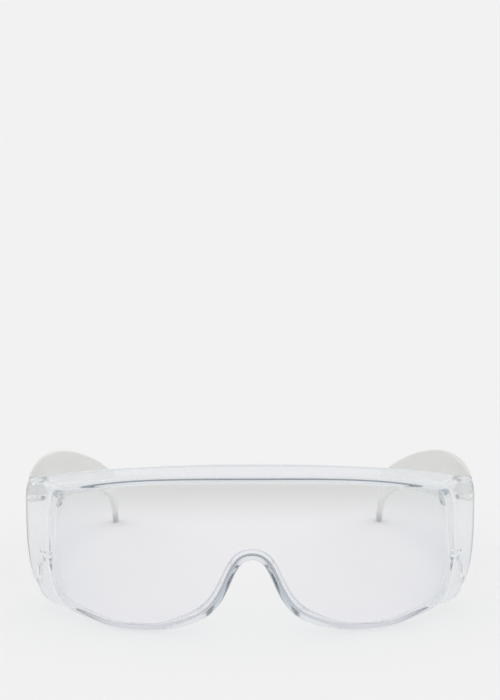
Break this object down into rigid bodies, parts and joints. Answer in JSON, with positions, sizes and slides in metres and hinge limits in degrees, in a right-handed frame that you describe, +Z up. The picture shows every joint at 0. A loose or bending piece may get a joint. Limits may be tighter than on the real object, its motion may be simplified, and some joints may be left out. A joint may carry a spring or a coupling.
{
  "type": "over-glasses safety glasses",
  "caption": "Clear one-piece wraparound safety glasses worn over spectacles, with brow guard, deep vented side shields and folding milky temples that dip into ear hooks.",
  "frame": {"origin": "middle of the bounding box in X and Y, at the surface it stands on", "axes": "+X across the face, to the right as seen from the front, +Y from the lens back to the ears, +Z up"},
  "size_m": [0.159, 0.1526, 0.0551],
  "materials": {
    "clear_front": "polished clear polycarbonate",
    "milky_temple": "smooth, slightly see-through",
    "steel_pin": "plain drawn rod"
  },
  "bodies": {
    "front": {"front_shield": "clear_front", "hinge_pin_left": "steel_pin", "hinge_pin_right": "steel_pin"},
    "left_temple": {"temple_left": "milky_temple"},
    "right_temple": {"temple_right": "milky_temple"}
  },
  "joints": [
    {"name": "fold_left", "type": "hinge", "parent": "front", "child": "left_temple", "pos_m": [-0.072, -0.02875, 0.0386], "axis": [0, 0, -1], "range_deg": [0, 90]},
    {"name": "fold_right", "type": "hinge", "parent": "front", "child": "right_temple", "pos_m": [0.072, -0.02875, 0.0386], "axis": [0, 0, 1], "range_deg": [0, 80]}
  ]
}
